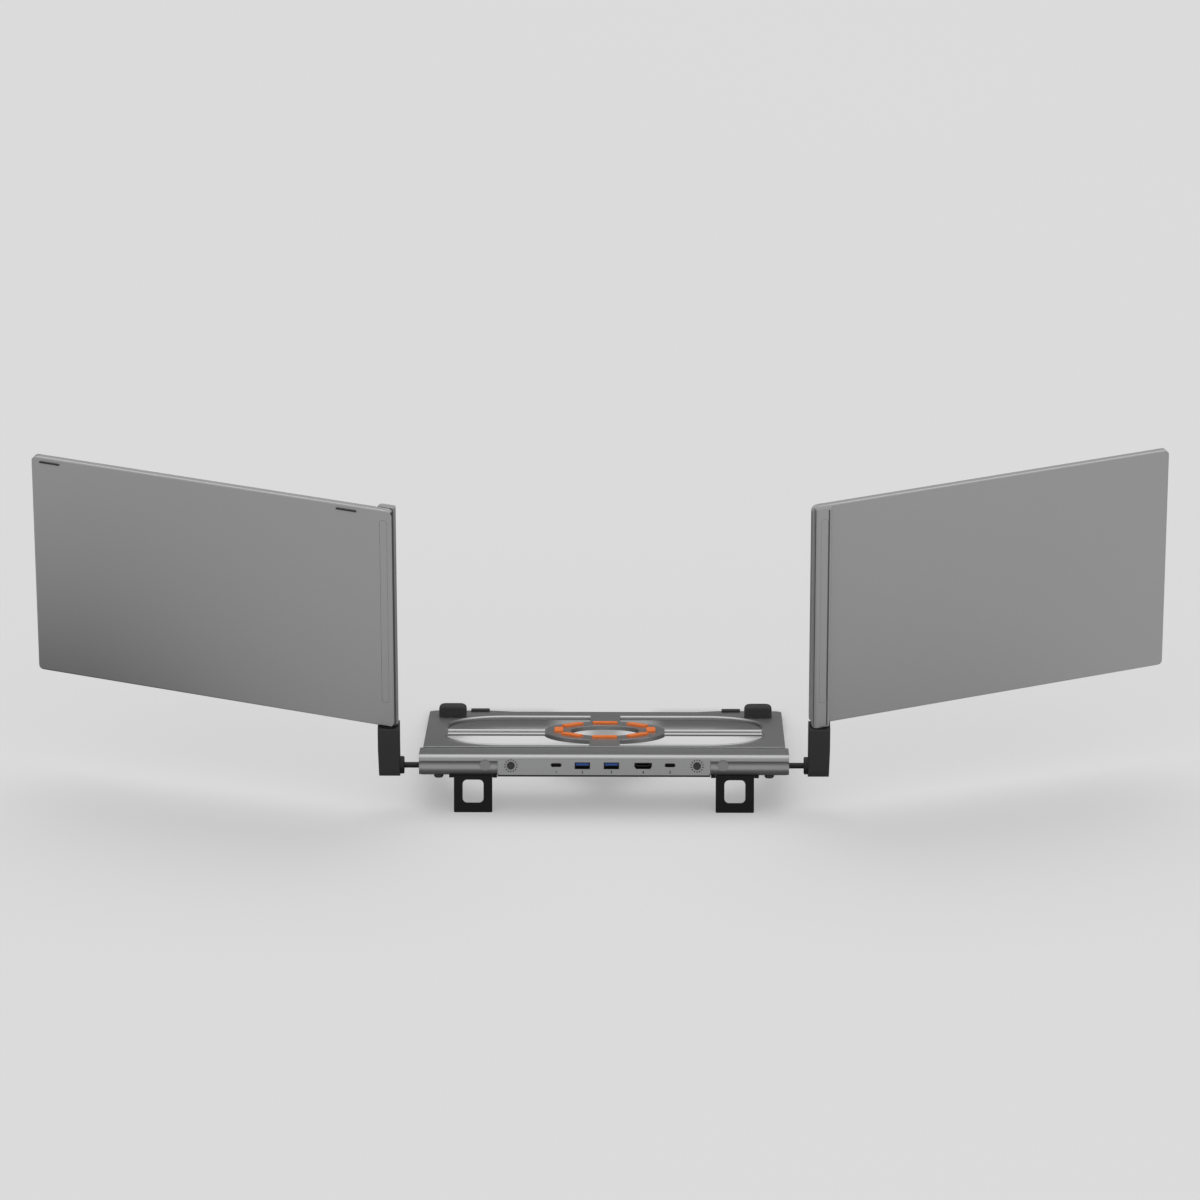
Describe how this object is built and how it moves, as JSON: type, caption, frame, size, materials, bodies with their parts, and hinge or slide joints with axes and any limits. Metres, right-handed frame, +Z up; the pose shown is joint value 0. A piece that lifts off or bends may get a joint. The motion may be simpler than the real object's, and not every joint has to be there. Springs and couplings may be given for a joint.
{
  "type": "laptop screen extender",
  "caption": "Laptop deck with a ports bar, fold-out legs and two screens on sliding, tilting and swivelling arms, seen from behind",
  "frame": {"origin": "on the desk plane, under the middle of the whole object's plan box", "axes": "+Z up away from the desk, +X to the right as seen from behind, +Y towards the user; the ports face -Y"},
  "size_m": [0.9907, 0.2801, 0.2983],
  "materials": {
    "anodized_metal": "satin",
    "dark_metal": "satin",
    "dark_plastic": "satin",
    "blue_plastic": "satin",
    "board_green": "satin",
    "grip_orange": "matte",
    "dark_rubber": "matte",
    "steel": "satin",
    "display_black": "gloss",
    "screen_glass": "gloss"
  },
  "bodies": {
    "base": {"hub_shell": "anodized_metal", "hub_bottom_cover": "dark_metal", "port_plate": "anodized_metal", "main_circuit_board": "board_green", "usb_c_sockets": "steel", "usb_c_tongues": "dark_plastic", "usb_a_sockets": "steel", "usb_a_tongues": "blue_plastic", "hdmi_socket": "steel", "hdmi_tongue": "dark_plastic", "dial_encoders": "dark_plastic", "rod_guides": "dark_plastic", "hub_feet": "dark_rubber", "screw_plugs": "dark_plastic", "cover_screws": "steel", "deck_frame": "anodized_metal", "deck_screws": "steel", "ring_pads": "grip_orange", "laptop_stops": "dark_rubber", "edge_bumpers": "dark_rubber", "leg_brackets": "dark_metal", "leg_pins": "steel"},
    "left_arm": {"left_rod": "steel", "left_rod_flange": "dark_plastic", "left_rod_clip": "steel", "left_tilt_washers": "steel", "left_tilt_nut": "steel"},
    "left_knuckle": {"left_hinge_block": "dark_plastic", "left_block_cover": "dark_plastic"},
    "left_screen": {"left_swivel_pivot": "steel", "left_swivel_washers": "steel", "left_swivel_nut": "steel", "left_spine": "anodized_metal", "left_spine_strip": "anodized_metal", "left_screen_back": "anodized_metal", "left_display_panel": "display_black", "left_screen_glass": "screen_glass", "left_screen_feet": "dark_rubber"},
    "left_leg": {"left_leg": "dark_metal"},
    "left_dial": {"left_dial": "dark_plastic"},
    "right_arm": {"right_rod": "steel", "right_rod_flange": "dark_plastic", "right_rod_clip": "steel", "right_tilt_washers": "steel", "right_tilt_nut": "steel"},
    "right_knuckle": {"right_hinge_block": "dark_plastic", "right_block_cover": "dark_plastic"},
    "right_screen": {"right_swivel_pivot": "steel", "right_swivel_washers": "steel", "right_swivel_nut": "steel", "right_spine": "anodized_metal", "right_spine_strip": "anodized_metal", "right_screen_back": "anodized_metal", "right_display_panel": "display_black", "right_screen_glass": "screen_glass"},
    "right_leg": {"right_leg": "dark_metal"},
    "right_dial": {"right_dial": "dark_plastic"}
  },
  "joints": [
    {"name": "left_slide", "type": "slide", "parent": "base", "child": "left_arm", "axis": [-1, 0, 0], "range_m": [-0.0125, 0.031]},
    {"name": "left_tilt", "type": "hinge", "parent": "left_arm", "child": "left_knuckle", "pos_m": [-0.187, -0.10241, 0.03964], "axis": [1, 0, 0], "range_deg": [-107.9, 45]},
    {"name": "left_swivel", "type": "hinge", "parent": "left_knuckle", "child": "left_screen", "pos_m": [-0.187, -0.10241, 0.03964], "axis": [0, -0.1184, 0.993], "range_deg": [-160.2, 35]},
    {"name": "left_leg_fold", "type": "hinge", "parent": "base", "child": "left_leg", "pos_m": [-0.114, -0.10675, 0.03101], "axis": [-1, 0, 0], "range_deg": [-90, 0]},
    {"name": "left_dial_turn", "type": "hinge", "parent": "base", "child": "left_dial", "pos_m": [-0.081, -0.11284, 0.0426], "axis": [0, 0.9814, -0.1921], "range_deg": [-135, 135]},
    {"name": "right_slide", "type": "slide", "parent": "base", "child": "right_arm", "axis": [1, 0, 0], "range_m": [-0.0125, 0.031]},
    {"name": "right_tilt", "type": "hinge", "parent": "right_arm", "child": "right_knuckle", "pos_m": [0.187, -0.10241, 0.03964], "axis": [1, 0, 0], "range_deg": [-106.9, 45]},
    {"name": "right_swivel", "type": "hinge", "parent": "right_knuckle", "child": "right_screen", "pos_m": [0.187, -0.10241, 0.03964], "axis": [0, 0.1011, -0.9949], "range_deg": [-158.1, 35]},
    {"name": "right_leg_fold", "type": "hinge", "parent": "base", "child": "right_leg", "pos_m": [0.114, -0.10675, 0.03101], "axis": [-1, 0, 0], "range_deg": [-90, 0]},
    {"name": "right_dial_turn", "type": "hinge", "parent": "base", "child": "right_dial", "pos_m": [0.081, -0.11284, 0.0426], "axis": [0, 0.9814, -0.1921], "range_deg": [-135, 135]}
  ]
}
